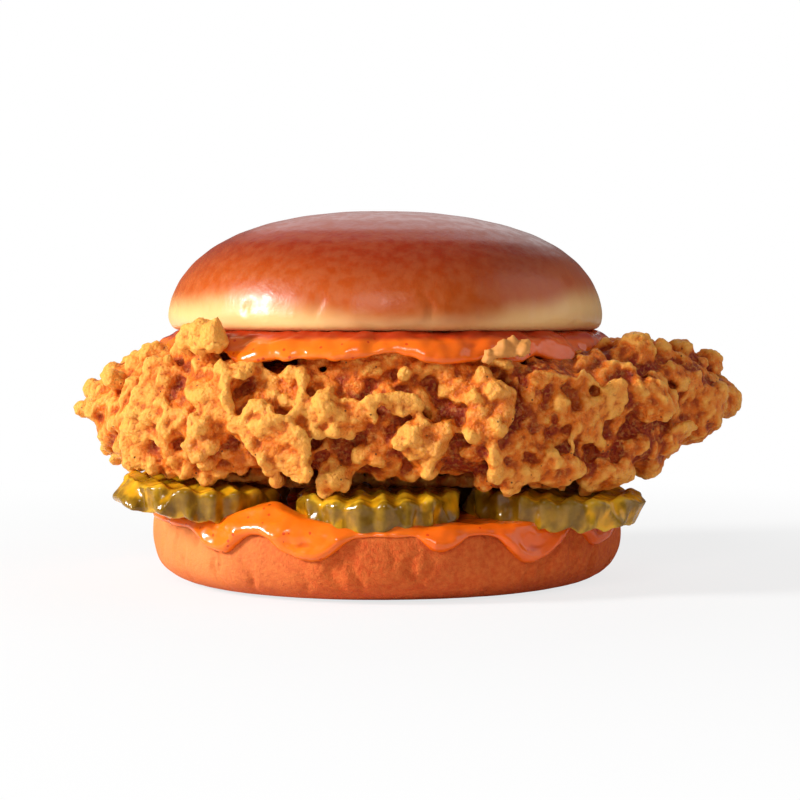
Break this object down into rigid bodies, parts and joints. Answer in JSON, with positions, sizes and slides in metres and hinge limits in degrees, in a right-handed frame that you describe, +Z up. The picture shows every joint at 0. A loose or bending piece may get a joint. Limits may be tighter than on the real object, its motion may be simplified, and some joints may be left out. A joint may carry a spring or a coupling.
{
  "type": "chicken burger",
  "caption": "Burger of a glazed split bun holding a craggy fried chicken fillet, spicy sauce above and below it, and crinkle-cut pickle slices under it.",
  "frame": {"origin": "on the table, under the middle of the burger's bounding box", "axes": "+X runs along the fillet from its blunt end to its tail, +Y runs from the front to the back, +Z is up"},
  "size_m": [0.1536, 0.1098, 0.0848],
  "materials": {
    "bun_crown": "satin glazed bread crust, red-brown on top and golden towards the cut",
    "bun_heel": "matte toasted bread, fine grained",
    "fried_crust": "rough golden fried crust with a little oil on it",
    "sauce": "wet orange sauce",
    "pickle": "wet olive-green pickled cucumber"
  },
  "bodies": {
    "root": {"bun_crown": "bun_crown", "sauce_upper": "sauce", "chicken": "fried_crust", "pickle_left": "pickle", "pickle_front": "pickle", "pickle_right": "pickle", "pickle_middle": "pickle", "pickle_back": "pickle", "sauce_lower": "sauce", "bun_heel": "bun_heel"}
  },
  "joints": []
}
